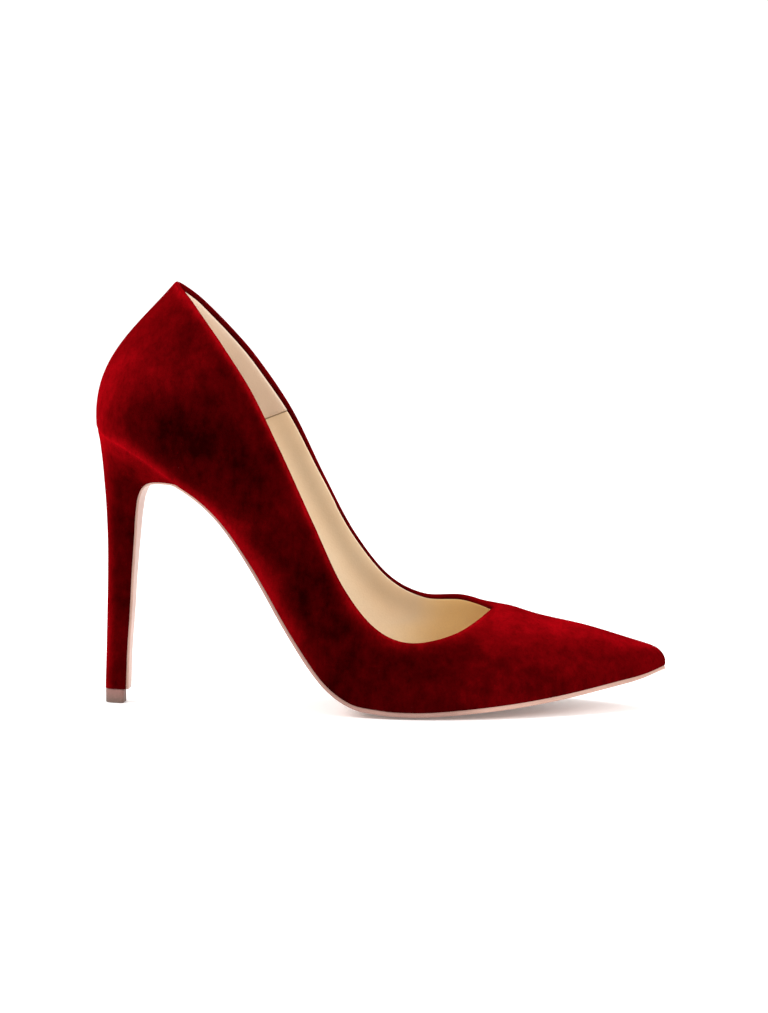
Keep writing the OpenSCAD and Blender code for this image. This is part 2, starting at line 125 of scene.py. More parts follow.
SEAT_LAP = 0.08  # and how far it reaches up past the bottom surface

DEPTH = 2.3  # velvet, stiffener and lining together
RIM = 1.15  # radius of the rolled topline
EDGE = 2.5  # velvet edge turned inside the topline round the heel
FRONT_EDGE = 1.05  # and in front
SHANK_BOARD_TOP = 5.3  # over the bottom surface
SOCK_THICKNESS = 0.8
TOP_PIECE_HEIGHT = 5.45


def slopes(x, y):
    """Slope at each point of a smooth curve through the points."""
    step = np.diff(x)
    rate = np.diff(y, axis=0) / step[:, None]
    inner = (step[1:, None] * rate[:-1] + step[:-1, None] * rate[1:]) / (step[1:] + step[:-1])[:, None]
    return np.vstack([rate[:1], inner, rate[-1:]])


def hermite(x, y, m, u):
    """The curve through the points x, y with the slopes m, read at u."""
    u = np.asarray(u, float)
    i = np.clip(np.searchsorted(x, u, side="right") - 1, 0, len(x) - 2)
    h = (x[i + 1] - x[i])[:, None]
    t = ((u - x[i]) / h[:, 0])[:, None]
    return (y[i] * (1 + 2 * t) * (1 - t) ** 2 + m[i] * h * t * (1 - t) ** 2
            + y[i + 1] * t * t * (3 - 2 * t) + m[i + 1] * h * t * t * (t - 1))


def ease(a, b, x):
    """0 at a, 1 at b, with a soft start and end."""
    t = np.clip((np.asarray(x, float) - a) / (b - a), 0, 1)
    return t * t * (3 - 2 * t)


def unit(v):
    """The same directions at length 1."""
    return v / np.maximum(np.linalg.norm(v, axis=-1, keepdims=True), 1e-9)


Q = STATIONS[:, 0]
PLAN = STATIONS[:, 1:3]
PLAN_M = slopes(Q, PLAN)
PLAN_M[[0, -1]] = 0, -9.5
HANDLES = STATIONS[:, 6:10]
HANDLES_M = slopes(Q, HANDLES)


def feather_height(x):
    """Height of the feather edge at x."""
    x = np.atleast_1d(x).astype(float)
    at, height = FEATHER[:, 0], FEATHER[:, 1:]
    return hermite(at, height, slopes(at, height), x)[:, 0]


def grade(x):
    """How steeply the feather edge rises at x."""
    return (feather_height(x + 0.2) - feather_height(x - 0.2)) / 0.4


def bottom(x, y, d):
    """A point of the bottom surface, moved by d along its normal."""
    g = grade(x)
    n = np.sqrt(1 + g * g)
    return np.column_stack([x - d * g / n, y, feather_height(x) + d / n])


def feather(q):
    """The feather edge seen from above."""
    return hermite(Q, PLAN, PLAN_M, q)


def top(q):
    """The topline, and the ridge of the vamp in front of the throat."""
    out = np.zeros((len(q), 3))
    first, last = THROAT, TOE - THROAT
    for a, b, use in ((0, first, q < first), (first, last, (q >= first) & (q <= last)),
                      (last, TOE, q > last)):
        rows = STATIONS[(Q >= a) & (Q <= b)]
        if use.any():
            out[use] = hermite(rows[:, 0], rows[:, 3:6], slopes(rows[:, 0], rows[:, 3:6]), q[use])
    return out


def outward(q):
    """Level direction out of the shoe, across the feather edge."""
    t = feather(np.minimum(TOE, q + 0.01)) - feather(np.maximum(0, q - 0.01))
    return unit(np.column_stack([-t[:, 1], t[:, 0], 0 * q]))


class Wall:
    """The wall of the upper at the stations q, from the feather edge to the topline."""

    def __init__(self, q):
        self.q = q = np.asarray(q, float)
        self.n = n = outward(q)
        f = feather(q)
        self.f = np.column_stack([f, feather_height(f[:, 0])])
        self.p = top(q)
        h = hermite(Q, HANDLES, HANDLES_M, q)
        c = self.p - self.f
        w = unit(c - n * (c * n).sum(1)[:, None])
        mu, lam = np.radians(h[:, 1:2]), np.radians(h[:, 3:4])
        quarter = np.where(q < BACK, ease(4, 7, q), 1 - ease(21, 24, q))[:, None]
        tip = np.where(q < BACK, 1 - ease(0, 0.8, q), ease(27.2, 28, q))[:, None]
        across = np.column_stack([0 * q, np.where(q < BACK, -1, 1), 0 * q])
        side = unit(across * (1 - quarter) + n * quarter)
        m = unit(side * (1 - tip) + np.array([[1.0, 0, 0]]) * tip)
        self.low = (n * np.sin(mu) + w * np.cos(mu)) * h[:, 0:1]
        self.high = (m * np.sin(lam) - w * np.cos(lam)) * h[:, 2:3]
        self.inward = -m * np.cos(lam) - w * np.sin(lam)
        self.reach = 3 * h[:, 2]

    def even_ridge(self):
        """Gives both halves of the vamp the same normal along the ridge."""
        other = Wall(TOE - self.q)
        ridge = (self.q <= THROAT) | (self.q >= TOE - THROAT)
        self.inward[ridge] = unit(self.inward + other.inward)[ridge]
        return self

    def foot(self, w, d):
        """Points on the bottom surface, w inside the feather edge and raised by d."""
        f = self.f - self.n * np.asarray(w).reshape(-1, 1)
        return bottom(f[:, 0], f[:, 1], d)

    def at(self, d, t):
        """Points of the wall at the depth d and the height t, 0 at the feather edge, 1 on top."""
        t = np.broadcast_to(np.asarray(t, float), self.q.shape)[:, None]
        a = self.foot(d, d)
        b = self.p + self.inward * d
        chord = np.linalg.norm(self.p - self.f, axis=1, keepdims=True)
        k = np.linalg.norm(b - a, axis=1, keepdims=True) / chord
        u = 1 - t
        return (a * u ** 3 + (a + self.low * k) * 3 * t * u ** 2
                + (b + self.high * k) * 3 * t * t * u + b * t ** 3)

    def margin(self, w):
        """The width w, narrowing to a tenth of it at the toe tip."""
        return w * ease(-0.8, 3.2, np.minimum(self.q, TOE - self.q))

    def rim_out(self):
        """Direction in the wall that leads straight out over the topline."""
        d = unit(-self.high)
        step = 0.01
        t = unit(top(self.q + step * (self.q < BACK)) - top(self.q - step * (self.q >= BACK)))
        r = unit(d - t * (d * t).sum(1)[:, None])
        return unit(r - self.inward * (r * self.inward).sum(1)[:, None])


# ---------------------------------------------------------------- making meshes
def to_frame(points):
    """Millimetres from the back of the heel to the frame's metres."""
    p = np.asarray(points, float).reshape(-1, 3)
    return (p + [-107, 0.4, 0]) / 1000


def weld(obj, distance=2e-6):
    """Joins points closer than the distance, in metres, and turns the faces outwards."""
    bm = bmesh.new()
    bm.from_mesh(obj.data)
    bmesh.ops.remove_doubles(bm, verts=bm.verts, dist=distance)
    bmesh.ops.dissolve_degenerate(bm, edges=bm.edges, dist=1e-7)
    bmesh.ops.recalc_face_normals(bm, faces=bm.faces)
    bm.to_mesh(obj.data)
    bm.free()


def mesh(name, points, faces, merge=1e-6):
    """A smooth mesh from points in millimetres; merge is None where it is painted first."""
    data = bpy.data.meshes.new(name)
    data.from_pydata([tuple(v) for v in to_frame(points)], [], faces)
    data.update()
    obj = bpy.data.objects.new(name, data)
    bpy.context.scene.collection.objects.link(obj)
    if merge:
        weld(obj, merge)
    for p in data.polygons:
        p.use_smooth = True
    return obj


def grid(rows, ring=False, flip=False):
    """Quads over rows[i][j]; ring closes the i direction."""
    rows = np.asarray(rows)
    n, m = rows.shape[:2]
    last = n if ring else n - 1
    out = []
    for i in range(last):
        a, b = i * m, ((i + 1) % n) * m
        for j in range(m - 1):
            face = (a + j, b + j, b + j + 1, a + j + 1)
            out.append(face[::-1] if flip else face)
    return rows.reshape(-1, 3), out


def paint(obj, name, values):
    """A number for each vertex, which the material reads by name."""
    a = obj.data.attributes.new(name, "FLOAT", "POINT")
    a.data.foreach_set("value", np.asarray(values, np.float32))


def finish_piece(obj, slot, *nodes, material=None):
    """Sets what the piece rides on, hides the CAD nodes it stands for and gives it its material; its
    slot is not used.
    """
    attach(obj, "root")
    if nodes:
        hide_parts(*nodes)
    if material:
        obj.data.materials.clear()
        obj.data.materials.append(material)
    return obj


# ---------------------------------------------------------------- materials
class Nodes:
    """Short forms for building a node material."""

    def __init__(self, name):
        self.material = bpy.data.materials.new(name)
        self.material.use_nodes = True
        self.tree = self.material.node_tree
        self.shader = self.tree.nodes["Principled BSDF"]
        self.place = self.node("ShaderNodeTexCoord").outputs["Object"]

    def node(self, kind, **settings):
        n = self.tree.nodes.new(kind)
        for k, v in settings.items():
            setattr(n, k, v)
        return n

    def link(self, a, b):
        self.tree.links.new(a, b)

    def set(self, **values):
        for k, v in values.items():
            self.shader.inputs[k.replace("_", " ")].default_value = v

    def noise(self, scale, detail=3.0, roughness=0.55, stretch=None):
        n = self.node("ShaderNodeTexNoise")
        n.inputs["Scale"].default_value = scale
        n.inputs["Detail"].default_value = detail
        n.inputs["Roughness"].default_value = roughness
        if stretch:
            m = self.node("ShaderNodeMapping")
            m.inputs["Scale"].default_value = stretch
            self.link(self.place, m.inputs["Vector"])
            self.link(m.outputs[0], n.inputs["Vector"])
        else:
            self.link(self.place, n.inputs["Vector"])
        return n.outputs["Fac"]

    def cells(self, scale, feature="DISTANCE_TO_EDGE"):
        n = self.node("ShaderNodeTexVoronoi", feature=feature)
        n.inputs["Scale"].default_value = scale
        self.link(self.place, n.inputs["Vector"])
        return n.outputs["Distance"]

    def ramp(self, value, *stops):
        """stops are (position, number or colour)."""
        n = self.node("ShaderNodeValToRGB")
        e = n.color_ramp.elements
        while len(e) < len(stops):
            e.new(0.5)
        for s, (at, c) in zip(e, stops):
            s.position = at
            s.color = (*c, 1) if hasattr(c, "__len__") else (c, c, c, 1)
        self.link(value, n.inputs["Fac"])
        return n.outputs["Color"]

    def mix(self, factor, a, b, blend="MIX"):
        n = self.node("ShaderNodeMix", data_type="RGBA", blend_type=blend)
        for value, socket in ((factor, n.inputs[0]), (a, n.inputs[6]), (b, n.inputs[7])):
            if hasattr(value, "is_output"):
                self.link(value, socket)
            elif hasattr(value, "__len__"):
                socket.default_value = (*value, 1)
            else:
                socket.default_value = value
        return n.outputs[2]

    def math(self, operation, a, b=0.0, clamp=False):
        n = self.node("ShaderNodeMath", operation=operation, use_clamp=clamp)
        for value, socket in ((a, n.inputs[0]), (b, n.inputs[1])):
            if hasattr(value, "is_output"):
                self.link(value, socket)
            else:
                socket.default_value = value
        return n.outputs[0]

    def attribute(self, name):
        return self.node("ShaderNodeAttribute", attribute_name=name).outputs["Fac"]

    def bump(self, height, distance, strength=1.0, before=None):
        n = self.node("ShaderNodeBump")
        n.inputs["Distance"].default_value = distance
        n.inputs["Strength"].default_value = strength
        self.link(height, n.inputs["Height"])
        if before is not None:
            self.link(before, n.inputs["Normal"])
        return n.outputs["Normal"]

    def colour(self, socket):
        self.link(socket, self.shader.inputs["Base Color"])

    def normal(self, socket):
        self.link(socket, self.shader.inputs["Normal"])

    def rough(self, socket):
        self.link(socket, self.shader.inputs["Roughness"])


def velvet(name):
    """Cut pile: a number per vertex says how bright the velvet is, painted sheen and shade with some
    brushed nap; 0 for deep red.
    """
    m = Nodes(name)
    # Painted sheen and shade: the number brightens the red where the pile shines.
    nap_and_sheen = m.attribute("nap_and_sheen")
    clouds = m.noise(24, 3, 0.5)
    patches = m.noise(120, 4, 0.65)
    brushed = m.noise(330, 3, 0.6, (1, 1, 0.5))
    drift = m.math("ADD", m.math("MULTIPLY", m.math("SUBTRACT", clouds, 0.5), 0.24),
                   m.math("MULTIPLY", m.math("SUBTRACT", patches, 0.5), 0.20))
    drift = m.math("ADD", drift, m.math("MULTIPLY", m.math("SUBTRACT", brushed, 0.5), 0.12))
    nap_and_sheen = m.math("ADD", nap_and_sheen, drift, clamp=True)
    base = m.ramp(nap_and_sheen, *[(v, (v ** 2.2, 0.004 * v ** 2.2, 0.012 * v ** 2.2))
                         for v in (0.0, 0.12, 0.24, 0.36, 0.5, 0.65, 0.85)])
    pile = m.noise(2600, 2, 0.7)
    tips = m.mix(1.0, base, (1.6, 1.6, 1.6), "MULTIPLY")
    base = m.mix(m.ramp(pile, (0.35, 0.0), (0.75, 0.55)), base, tips)
    pits = m.noise(900, 3, 0.6, (1, 1, 0.45))
    base = m.mix(m.ramp(pits, (0.5, 0.0), (0.8, 0.35)), base, (0.008, 0.0, 0.0002))
    lint = m.ramp(m.cells(230, "F1"), (0.0, 1.0), (0.032, 0.0))
    lint = m.math("MULTIPLY", lint, m.ramp(m.noise(70, 1), (0.60, 0.0), (0.68, 0.3)))
    base = m.mix(lint, base, (0.5, 0.15, 0.15))
    m.colour(base)
    m.normal(m.bump(pile, 0.00012, 0.5, m.bump(pits, 0.0002, 0.35)))
    m.set(Roughness=1.0, Specular_IOR_Level=0.0, Sheen_Weight=0.2, Sheen_Roughness=0.3,
          Sheen_Tint=(0.75, 0.002, 0.006, 1))
    return m.material


def leather(name, light, dark, roughness=0.48, grain=1900):
    """Smooth lining leather: soft clouds of tone, a fine pebble grain and a few creases."""
    m = Nodes(name)
    clouds = m.noise(38, 4, 0.6)
    base = m.ramp(clouds, (0.3, dark), (0.7, light))
    shade = m.ramp(m.attribute("shade"), (0.0, (1, 1, 1)), (1.0, (0.58, 0.56, 0.54)))
    base = m.mix(1.0, base, shade, "MULTIPLY")
    tone = m.ramp(m.attribute("tone"), (0.0, (1, 1, 1)), (0.5, (0.89, 0.94, 1.0)),
                  (1.0, (1.0, 0.96, 0.72)))
    base = m.mix(1.0, base, tone, "MULTIPLY")
    pebbles = m.ramp(m.cells(grain, "SMOOTH_F1"), (0.1, 1.0), (0.75, 0.0))
    fine = m.noise(grain * 1.7, 3, 0.6)
    creases = m.noise(grain * 0.25, 4, 0.7, (1, 0.45, 0.8))
    base = m.mix(m.ramp(pebbles, (0.0, 0.16), (0.6, 0.0)), base, tuple(0.72 * c for c in dark))
    base = m.mix(m.ramp(creases, (0.52, 0.0), (0.8, 0.12)), base, tuple(0.8 * c for c in dark))
    base = m.mix(m.ramp(fine, (0.4, 0.0), (0.8, 0.14)), base, tuple(min(1, 1.08 * c) for c in light))
    m.colour(base)
    m.normal(m.bump(pebbles, 0.00005, 0.45, m.bump(creases, 0.00012, 0.3)))
    m.rough(m.ramp(clouds, (0.3, roughness + 0.08), (0.7, roughness - 0.04)))
    m.set(Specular_IOR_Level=0.35)
    return m.material


def sole_leather(name):
    """Finished leather outsole: fine fibres, scuffed a little at the tread, with painted shade
    darkening the edge.
    """
    m = Nodes(name)
    clouds = m.noise(55, 4, 0.6)
    base = m.ramp(clouds, (0.3, (0.49, 0.29, 0.22)), (0.7, (0.58, 0.36, 0.28)))
    fibre = m.noise(900, 4, 0.65, (0.35, 1, 1))
    base = m.mix(m.ramp(fibre, (0.42, 0.0), (0.85, 0.25)), base, (0.40, 0.24, 0.18))
    near_tread = m.attribute("near_tread")
    base = m.mix(m.math("MULTIPLY", near_tread, 0.35), base, (0.40, 0.29, 0.24))
    # Painted shade on the edge, deepest by the ball where it meets the floor and along the arch.
    edge = m.ramp(m.attribute("edge"), (0.0, (1, 1, 1)), (1.0, (0.56, 0.50, 0.52)))
    base = m.mix(1.0, base, edge, "MULTIPLY")
    m.colour(base)
    m.normal(m.bump(fibre, 0.00004, 0.35))
    m.rough(m.ramp(near_tread, (0.0, 0.38), (1.0, 0.6)))
    m.set(Specular_IOR_Level=0.4)
    return m.material


def rubber(name):
    """Hard heel rubber, darker towards the tread."""
    m = Nodes(name)
    specks = m.noise(1500, 3, 0.6)
    base = m.ramp(specks, (0.35, (0.215, 0.098, 0.082)), (0.7, (0.255, 0.118, 0.10)))
    tread = m.ramp(m.attribute("near_tread"), (0.0, (1, 1, 1)), (1.0, (0.50, 0.70, 0.64)))
    m.colour(m.mix(1.0, base, tread, "MULTIPLY"))
    m.normal(m.bump(specks, 0.00005, 0.5))
    m.set(Roughness=0.62, Specular_IOR_Level=0.35)
    return m.material


def woven(name, colour, thread=0.0005):
    """Plain weave: waves along the three axes, crossed."""
    m = Nodes(name)
    waves = []
    for axis in ("X", "Y", "Z"):
        w = m.node("ShaderNodeTexWave", wave_type="BANDS", bands_direction=axis)
        w.inputs["Scale"].default_value = 0.05 / thread * 6.28
        w.inputs["Distortion"].default_value = 0.4
        m.link(m.place, w.inputs["Vector"])
        waves.append(w.outputs["Fac"])
    weave = m.math("MULTIPLY", m.math("ADD", waves[0], waves[1]), m.math("ADD", waves[2], 0.5))
    m.colour(m.ramp(weave, (0.1, tuple(0.75 * c for c in colour)), (1.0, colour)))
    m.normal(m.bump(weave, 0.00008, 0.5))
    m.set(Roughness=0.85)
    return m.material


def fibre_board(name, light, dark):
    """Pressed board with long fibres."""
    m = Nodes(name)
    fibres = m.noise(420, 5, 0.7, (0.3, 1, 1))
    m.colour(m.ramp(fibres, (0.35, dark), (0.65, light)))
    m.normal(m.bump(fibres, 0.0001, 0.5))
    m.set(Roughness=0.88)
    return m.material


def foam(name):
    """Open-celled foam."""
    m = Nodes(name)
    cells = m.cells(900)
    m.colour(m.ramp(cells, (0.0, (0.62, 0.55, 0.36)), (0.2, (0.82, 0.76, 0.56))))
    m.normal(m.bump(cells, 0.0003, 0.6))
    m.set(Roughness=0.9)
    return m.material


def plastic(name, colour):
    """Finely grained, half matt."""
    m = Nodes(name)
    grain = m.noise(800, 2)
    m.colour(m.ramp(grain, (0.4, colour), (0.7, tuple(1.3 * c for c in colour))))
    m.normal(m.bump(grain, 0.00003, 0.4))
    m.set(Roughness=0.45)
    return m.material


def steel(name):
    """Rolled steel with fine streaks."""
    m = Nodes(name)
    streaks = m.noise(1400, 3, 0.6, (0.08, 1, 1))
    m.colour(m.ramp(streaks, (0.3, (0.45, 0.45, 0.46)), (0.7, (0.62, 0.62, 0.64))))
    m.rough(m.ramp(streaks, (0.3, 0.28), (0.7, 0.42)))
    m.set(Metallic=1.0)
    return m.material


def thread(name, colour):
    """Twisted thread texture; it colours the dark strip painted as the shadow along the lining's seam.
    """
    m = Nodes(name)
    twist = m.noise(5200, 2, 0.6)
    m.colour(m.ramp(twist, (0.35, tuple(0.75 * c for c in colour)), (0.65, colour)))
    m.normal(m.bump(twist, 0.00003, 0.6))
    m.set(Roughness=0.6, Sheen_Weight=0.3)
    return m.material


VELVET_UPPER = velvet("velvet_upper")
VELVET_HEEL = velvet("velvet_heel")
VAMP_LINING = leather("vamp_lining", (0.84, 0.67, 0.47), (0.79, 0.60, 0.40))
QUARTER_LINING = leather("quarter_lining", (0.76, 0.60, 0.46), (0.69, 0.53, 0.40), 0.62, 2300)
SOCK = leather("sock_leather", (0.84, 0.67, 0.47), (0.79, 0.60, 0.40))
SOLE = sole_leather("sole_leather")
TOP_PIECE = rubber("top_piece_rubber")
SEAM_SHADOW = thread("painted_seam_shadow", (0.26, 0.18, 0.10))


# ---------------------------------------------------------------- the upper
def stations(n):
    """Stations all round, the same on both sides of the toe, closer at the step in the topline."""
    back = np.union1d(np.linspace(5, BACK, n), np.linspace(8.48, 8.64, 13))
    half = np.concatenate([np.linspace(0, 1, 17)[:-1], np.linspace(1, THROAT, 31)[:-1],
                           np.linspace(THROAT, 5, 21)[:-1], back])
    return np.concatenate([half, TOE - half[-2::-1]])


def rim_start(wall):
    """Height of the wall, 0 to 1, at which the rolled topline begins."""
    soft = ease(4, 4.4, wall.q) * (1 - ease(23.6, 24, wall.q))
    return 1 - soft * RIM / wall.reach


def rim_direction(wall):
    """Out over the topline, turning to the ridge of the vamp at the throat."""
    ridge = unit(top(np.array([THROAT])) - top(np.array([THROAT - 0.1])))
    k = (ease(4, 4.35, wall.q) * (1 - ease(23.65, 24, wall.q)))[:, None]
    return unit(ridge * (1 - k) + wall.rim_out() * k)


def edge_start(wall):
    """Where the turned velvet edge meets the lining: wider round the heel than in front."""
    q = np.minimum(wall.q, TOE - wall.q)
    width = FRONT_EDGE + (EDGE - FRONT_EDGE) * ease(8.7, 10.8, q) - 0.25 * ease(8.50, 8.60, q)
    return 1 - width / wall.reach * ease(4, 4.8, q)


# Spots of painted sheen and shade, with some brushed nap, lighter or darker: station and its
# spread, height and its spread, change
NAP_AND_SHEEN_SPOTS = [
    (11.3, 0.8, 0.4, 0.3, -0.11),
    (12.1, 0.7, 0.62, 0.2, 0.075),
    (12.45, 0.35, 0.3, 0.15, -0.055),
    (5.5, 0.8, 0.6, 0.25, -0.06),
    (3.1, 0.6, 0.12, 0.2, -0.045),
    (1.2, 0.6, 0.95, 0.12, -0.06)]


def nap_and_sheen_at(wall, t):
    """Painted sheen and shade on the velvet, with some brushed nap: bright on the vamp, round the heel
    and along the edges.
    """
    q = np.minimum(wall.q, TOE - wall.q)
    t = np.broadcast_to(t, q.shape)
    late = ease(4.0, 4.7, q)
    dip = 0.07 * ease(2.4, 3.2, q) * np.exp(-((t - 0.26) / 0.2) ** 2)
    vamp = (0.08 - dip + 0.14 * ease(0.42 + 0.26 * late, 0.88, t)) * (1 - ease(3.7, 5.4, q))
    vamp += 0.02 * (1 - ease(5, 7, q))
    heel = 0.30 * ease(12.0, 13.8, q) * (1 - (0.65 - 0.2 * ease(13, 13.6, q)) * ease(0.25, 0.8, t))
    waist = 0.24 * np.exp(-(t / 0.21) ** 2) * ease(7.4, 9.0, q) * (1 - ease(9.6, 10.6, q))
    seat = 0.23 * np.exp(-(t / 0.07) ** 2) * ease(9.4, 10.4, q) * (1 - ease(12.4, 13.2, q))
    seam = 0.06 * np.exp(-(t / 0.012) ** 2) * ease(10.8, 11.3, q)
    spots = sum(amount * np.exp(-((q - at) / long) ** 2) * np.exp(-((t - level) / high) ** 2)
                for at, long, level, high, amount in NAP_AND_SHEEN_SPOTS)
    band = 3.2 - 1.0 * ease(7.5, 9.5, q)
    level = 0.19 - 0.07 * np.exp(-((q - 6.5) / 0.4) ** 2)
    topline = level * np.exp(-((1 - t) * wall.reach / band) ** 2) * ease(4, 4.6, q)
    # Painted highlights on the vamp, round the heel, along the waist, seat, seam and topline; the dip
    # and the darker spots are painted shade.
    return 0.18 + vamp + heel + waist + seat + seam + spots + topline


def velvet_upper():
    """Velvet from the lasting margin over the wall and the rolled topline to the turned edge."""
    q = stations(130)
    wall = Wall(q).even_ridge()
    start = rim_start(wall)
    under = wall.margin(10.0) + 0.6
    underside = ((under, 0), (under * 0.5, 0), (0.3, 0), (0.1, 0.03), (0.02, 0.12))
    rows = [wall.foot(w, d) for w, d in underside]
    corner = nap_and_sheen_at(wall, 0 * q)
    # Painted shade under the lasting margin: the sheen fades towards the underside.
    marks = [corner * k for k in (0.3, 0.3, 0.6, 0.8, 1.0)]
    heights = np.concatenate([[0.006, 0.02, 0.045], np.linspace(0.08, 1, 40)])
    seam_back = np.exp(-((q - BACK) / 0.02) ** 2)
    for s in heights:
        t = start * s
        p = wall.at(0, t)
        crease = 0.24 * seam_back * ease(0.02, 0.08, s)
        rows.append(p + wall.inward * crease[:, None])
        # The velvet is darker along the back seam.
        marks.append(nap_and_sheen_at(wall, t) - 0.10 * seam_back)
    rows = np.array(rows).transpose(1, 0, 2)
    marks = np.array(marks).T
    rows[-1] = rows[0]
    points, faces = grid(rows)
    nap_and_sheen = list(marks.reshape(-1))

    keep = (q >= THROAT) & (q <= TOE - THROAT)
    rim = Wall(q[keep])
    rim.inward = wall.inward[keep]
    r0 = rows[keep][:, -1]
    out = rim_direction(rim)
    start = start[keep]
    edge = edge_start(rim)
    roll = [r0]
    for a in np.linspace(0, math.pi, 13)[1:]:
        roll.append(r0 + RIM * (rim.inward * (1 - math.cos(a)) + out * math.sin(a)))
    for k in np.linspace(0, 1, 6)[1:]:
        t = start + (edge - start) * k
        roll.append(rim.at(DEPTH, np.minimum(t, 1)))
    roll.append(rim.at(DEPTH - 0.6, edge - 0.3 / rim.reach))
    # Painted sheen on the rolled topline, less where the velvet turns inside.
    level = [0.38] * 5 + [0.33] * 4 + [0.27] * 4 + [0.22] * 6
    roll = np.array(roll).transpose(1, 0, 2)
    more, more_faces = grid(roll)
    offset = len(points)
    faces += [tuple(i + offset for i in f) for f in more_faces]
    nap_and_sheen += list(np.tile(level, len(roll)))
    obj = mesh("velvet_upper", np.vstack([points, more]), faces, merge=None)
    paint(obj, "nap_and_sheen", np.clip(nap_and_sheen, 0, 1))
    weld(obj)
    return finish_piece(obj, "velvet", "upper_outer", "topline_binding", "topline_tape",
                        material=VELVET_UPPER)


VAMP_DEPTH = DEPTH + 0.25
QUARTER_DEPTH = DEPTH + 0.5
SEAM_DEPTH = DEPTH + 0.32
STRIP_DEPTH = DEPTH + 1.05
QUARTER_THICKNESS = 0.4
STRIP_THICKNESS = 0.5
SEAM_WIDTH = 0.5

# The seam across the lining: a plane through this point, rising towards the toe
SEAM_POINT = np.array([66.5, 0, 110.3])
SEAM_RISE = 0.4
SEAM_NORMAL = np.array([-SEAM_RISE, 0, 1]) / math.hypot(SEAM_RISE, 1)


def lining_shade(wall, t):
    """Where the lining lies in its own shadow under the far topline, 0 to 1."""
    q = np.maximum(wall.q, TOE - wall.q)
    along = 0.35 * ease(15.5, 17, q) + 0.6 * ease(17, 18.8, q) * (1 - ease(20.6, 22.4, q))
    return along * (1 - 0.35 * ease(22, 23, q)) * np.exp(-((t - 0.8) / 0.16) ** 2)


def lining_tone(wall, t):
    """0 for plain leather, 0.5 where it is paler low down, 1 where it is golden by the throat."""
    q = np.maximum(wall.q, TOE - wall.q)
    golden = ease(20.8, 22.8, q)
    return golden + 0.5 * (1 - golden) * ease(0.72, 0.5, t) * ease(17, 18, q)


def lining_mesh(name, depth, keep_above, point=SEAM_POINT):
    """The whole lining at one depth, cut at the seam; keeps the heel side or the toe side."""
    q = stations(110)
    wall = Wall(q).even_ridge()
    edge = edge_start(wall)
    end = edge - 0.35 / wall.reach
    rows, shades, tones = [], [], []
    for s in np.linspace(0, 1, 30):
        rows.append(wall.at(depth, end * s))
        shades.append(lining_shade(wall, end * s))
        tones.append(lining_tone(wall, end * s))
    closed = (q <= THROAT) | (q >= TOE - THROAT)
    rows[-1][closed] = wall.at(depth, np.ones(len(q)))[closed]
    for d, back in ((depth - 0.08, 0.12), (depth - 0.3, 0.0), (DEPTH - 0.5, 0.0)):
        p = wall.at(d, np.minimum(edge - back / wall.reach, 1))
        p[closed] = rows[-1][closed]
        rows.append(p)
        shades.append(0 * q)
        tones.append(tones[-1])
    rows = np.array(rows).transpose(1, 0, 2)
    rows[-1] = rows[0]
    points, faces = grid(rows, flip=True)
    obj = mesh(name, points, faces, merge=None)
    paint(obj, "shade", np.array(shades).T.reshape(-1))
    paint(obj, "tone", np.array(tones).T.reshape(-1))
    weld(obj)
    cut(obj, keep_above, point)
    return obj


def cut(obj, keep_above, point=SEAM_POINT):
    """Keeps what lies on one side of the plane of the seam."""
    bm = bmesh.new()
    bm.from_mesh(obj.data)
    bmesh.ops.bisect_plane(bm, geom=bm.verts[:] + bm.edges[:] + bm.faces[:],
                           plane_co=to_frame(point)[0], plane_no=SEAM_NORMAL,
                           clear_inner=keep_above, clear_outer=not keep_above)
    bm.to_mesh(obj.data)
    bm.free()
    for p in obj.data.polygons:
        p.use_smooth = True


def thicken(obj, thickness):
    """Gives a sheet its thickness, half to each side."""
    m = obj.modifiers.new("thickness", "SOLIDIFY")
    m.thickness = thickness / 1000
    m.offset = 0


def linings():
    """Forepart lining, quarter lining and a dark strip painted as the shadow where they meet."""
    vamp = lining_mesh("vamp_lining_sheet", VAMP_DEPTH, False)
    finish_piece(vamp, "vamp_lining", "vamp_lining", material=VAMP_LINING)
    quarter = lining_mesh("quarter_lining_sheet", QUARTER_DEPTH, True)
    thicken(quarter, QUARTER_THICKNESS)
    finish_piece(quarter, "quarter_lining", "quarter_lining", material=QUARTER_LINING)
    # A dark strip along the quarter lining's edge: painted shadow of that edge on the forepart lining.
    line = lining_mesh("lining_seam_shadow", SEAM_DEPTH, True, SEAM_POINT - SEAM_WIDTH * SEAM_NORMAL)
    cut(line, False)
    finish_piece(line, "quarter_lining", material=SEAM_SHADOW)


def back_stay():
    """Leather strip over the back seam of the quarter lining."""
    half_width, low, high = 0.45, 0.22, 0.72
    wall = Wall(np.linspace(BACK - half_width, BACK + half_width, 21))
    across = abs(wall.q - BACK) / half_width
    rows = []
    for t in np.linspace(low, high, 40):
        near_end = ease(0.03, 0.0, min(t - low, high - t))
        sunk = 0.25 * np.maximum(ease(0.85, 1.0, across), near_end)
        rows.append(wall.at(STRIP_DEPTH, t) - wall.inward * sunk[:, None])
    points, faces = grid(rows)
    obj = mesh("back_stay_strip", points, faces)
    thicken(obj, STRIP_THICKNESS)
    finish_piece(obj, "quarter_lining", "back_stay", material=QUARTER_LINING)


# ---------------------------------------------------------------- bottom
def sock_low(x):
    """Height of the sock lining's underside over the bottom surface, clear of the boards."""
    heel_foam, forefoot_foam = 2.9 * (1 - ease(35, 62, x)), ease(100, 125, x)
    waist = 0.6 * ease(60, 78, x) * ease(112, 96, x)
    return SHANK_BOARD_TOP + 0.1 + heel_foam + forefoot_foam + waist


